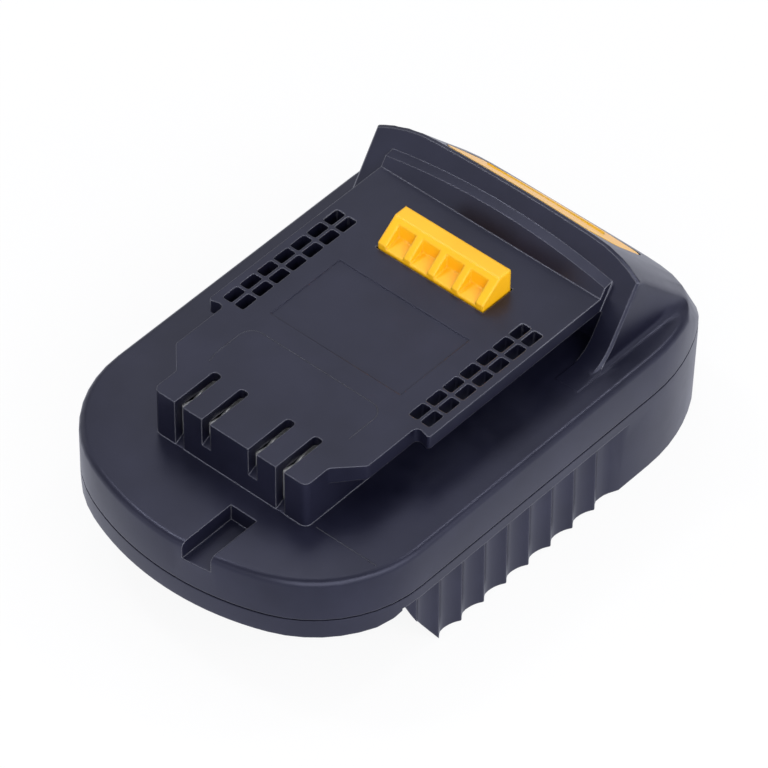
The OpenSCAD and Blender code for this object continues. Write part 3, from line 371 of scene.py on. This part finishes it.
def coil_rings(low, high, wire, turns, closed=0.8, steps=36, sides=12):
    """Rings along a round wire wound between two corners of a box, with closed turns at its ends."""
    centre = (low + high) / 2
    radius = (high.x - low.x - wire) / 2
    rise = high.z - low.z - wire
    end_pitch = 0.9 * wire
    rings = []
    for k in range(steps * turns + 1):
        turn = k / steps
        middle = min(max((turn - closed) / (turns - 2 * closed), 0), 1)
        ends = min(turn, closed) + max(turn - (turns - closed), 0)
        height = (rise - 2 * end_pitch * closed) * middle + end_pitch * ends
        angle = 2 * math.pi * turn
        out = Vector((math.cos(angle), math.sin(angle), 0))
        spot = Vector((centre.x, centre.y, low.z + wire / 2 + height)) + radius * out
        rings.append([
            spot + wire / 2 * (math.cos(a) * out + math.sin(a) * Vector((0, 0, 1)))
            for a in (-2 * math.pi * j / sides for j in range(sides))])
    return rings


SPRING_WIRE, SPRING_TURNS, LATCH_TRAVEL = 0.7 * MM, 5, 4.5 * MM
for node in ("latch_spring_left", "latch_spring_right"):
    low, high = (Vector(p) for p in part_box(node))
    coil = loft_piece(node + "_coil", coil_rings(low, high, SPRING_WIRE, SPRING_TURNS), steel, "adapter")
    coil.data.polygons.foreach_set("use_smooth", [len(p.vertices) == 4 for p in coil.data.polygons])
    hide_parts(node)
    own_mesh(coil)


# Faint moulded lines, as fine raised beads on the rail block and the plate, in a paler plastic that paints their
# highlight

def bead(name, path, z, half_width=0.13 * MM, height=0.05 * MM):
    """A fine raised bead with a ridged top along a level path in millimetres."""
    points = [Vector((x * MM, y * MM, z * MM)) for x, y in path]
    rings = []
    for k, point in enumerate(points):
        along = (points[min(k + 1, len(points) - 1)] - points[max(k - 1, 0)]).normalized()
        across = Vector((-along.y, along.x, 0)) * half_width
        rings.append([point - across, point + across, point + Vector((0, 0, height))])
    loft_piece(name, rings, painted_highlight_line_plastic, "adapter")


BLOCK_TOP, CHAMBER_HALF, CORNER_Y, CORNER = 40.0, 16.6, -21.3, 3.0
PLATE_TOP, PLATE_LINE_Y = 29.1, -40.85
corner = [(1 - math.cos(a), math.sin(a)) for a in (k * math.pi / 16 for k in range(9))]
left_corner = [(-CHAMBER_HALF + CORNER * x, CORNER_Y + CORNER * y) for x, y in corner]
right_corner = [(-x, y) for x, y in reversed(left_corner)]
bead("chamber_line",
     [(-16.0, -30.2), (-CHAMBER_HALF, -27.8), *left_corner, *right_corner, (CHAMBER_HALF, -28.0)], BLOCK_TOP)
bead("plate_line", [(x, PLATE_LINE_Y) for x in (20.0, 27.0, 34.6)], PLATE_TOP)


# Camera, as solved from the part's straight edges in the photograph

CAMERA_PLACE = (0.57178, -0.64966, 0.88535)
CAMERA_BACK, CAMERA_SIDE = Vector((0.46763, -0.53165, 0.70617)), Vector((0.75087, 0.66045, 0.0))
CAMERA_ROLL, CAMERA_ANGLE = 0.00485, 0.11776
level_top = CAMERA_BACK.cross(CAMERA_SIDE)
right = (CAMERA_SIDE * math.cos(CAMERA_ROLL) + level_top * math.sin(CAMERA_ROLL)).normalized()
top = CAMERA_BACK.cross(right)
camera = bpy.data.objects.new("camera", bpy.data.cameras.new("camera"))
camera.matrix_world = (
    Matrix.Translation(CAMERA_PLACE) @ Matrix((right, top, CAMERA_BACK)).transposed().to_4x4())
camera.data.sensor_fit = "HORIZONTAL"
camera.data.angle = CAMERA_ANGLE
camera.data.clip_start = 0.05
scene.collection.objects.link(camera)
scene.camera = camera


# Floor and world

FLOOR_HALF, FLOOR_DROP, FLOOR_SHARE = 6.0, 0.2 * MM, 0.9
g = Graph("pale_floor")
g.surface(Base_Color=g.ramp(g.noise(6), (0.3, (0.86, 0.86, 0.865)), (0.7, (0.9, 0.9, 0.9))), Roughness=0.9)
g.seen_white(FLOOR_SHARE)
floor_mesh = bpy.data.meshes.new("floor")
floor_mesh.from_pydata(
    [(x * FLOOR_HALF, y * FLOOR_HALF, 0) for x, y in ((-1, -1), (1, -1), (1, 1), (-1, 1))], [], [(0, 1, 2, 3)])
floor_mesh.materials.append(g.material)
floor = bpy.data.objects.new("floor", floor_mesh)
floor.location.z = -FLOOR_DROP
scene.collection.objects.link(floor)

COOL, SKY_STRENGTH = (0.94, 0.95, 1.0), 0.5
world = bpy.data.worlds.new("studio")
scene.world = world
world.use_nodes = True
sky = world.node_tree.nodes["Background"]
sky.inputs["Color"].default_value = (*COOL, 1)
sky.inputs["Strength"].default_value = SKY_STRENGTH


# Lamps: the way to each from the part, its size in metres, and its glow beside a white of 1

LAMPS = {
    "overhead": ((-0.12, 0.2, 0.97), 0.8, 0.2),
    "back_left": ((-0.5, 0.6, 0.62), 0.6, 0.58),
    "left": ((-0.95, 0.0, 0.35), 0.6, 0.6),
    "front": ((0.1, -0.93, 0.36), 0.6, 0.6),
    "front_left": ((-0.47, -0.85, 0.26), 0.5, 0.7),
    "upper_left": ((-0.32, 0.26, 0.9), 0.25, 3.2),
    "front_right": ((0.65, -0.65, 0.48), 0.95, 2.8),
    "right": ((0.95, 0.1, 0.4), 0.8, 2.3),
    "rim_back": ((0.15, 0.53, 0.83), 0.16, 15.0),
    "rim_left": ((-0.47, -0.11, 0.88), 0.16, 22.0),
    "rim_right": ((0.7, -0.12, 0.65), 0.2, 7.0),
}
AIM, LAMP_DISTANCE = Vector((0, 0, 0.02)), 1.1
for name, (way, size, glow) in LAMPS.items():
    lamp = bpy.data.lights.new(name, "AREA")
    lamp.shape, lamp.size, lamp.energy = "SQUARE", size, glow * math.pi * size * size
    lamp.color = COOL
    lit = bpy.data.objects.new(name, lamp)
    lit.location = AIM + LAMP_DISTANCE * Vector(way).normalized()
    lit.rotation_euler = (AIM - lit.location).to_track_quat("-Z", "Y").to_euler()
    lit.visible_camera = False
    scene.collection.objects.link(lit)

scene.view_settings.view_transform = "Standard"

bpy.context.view_layer.update()
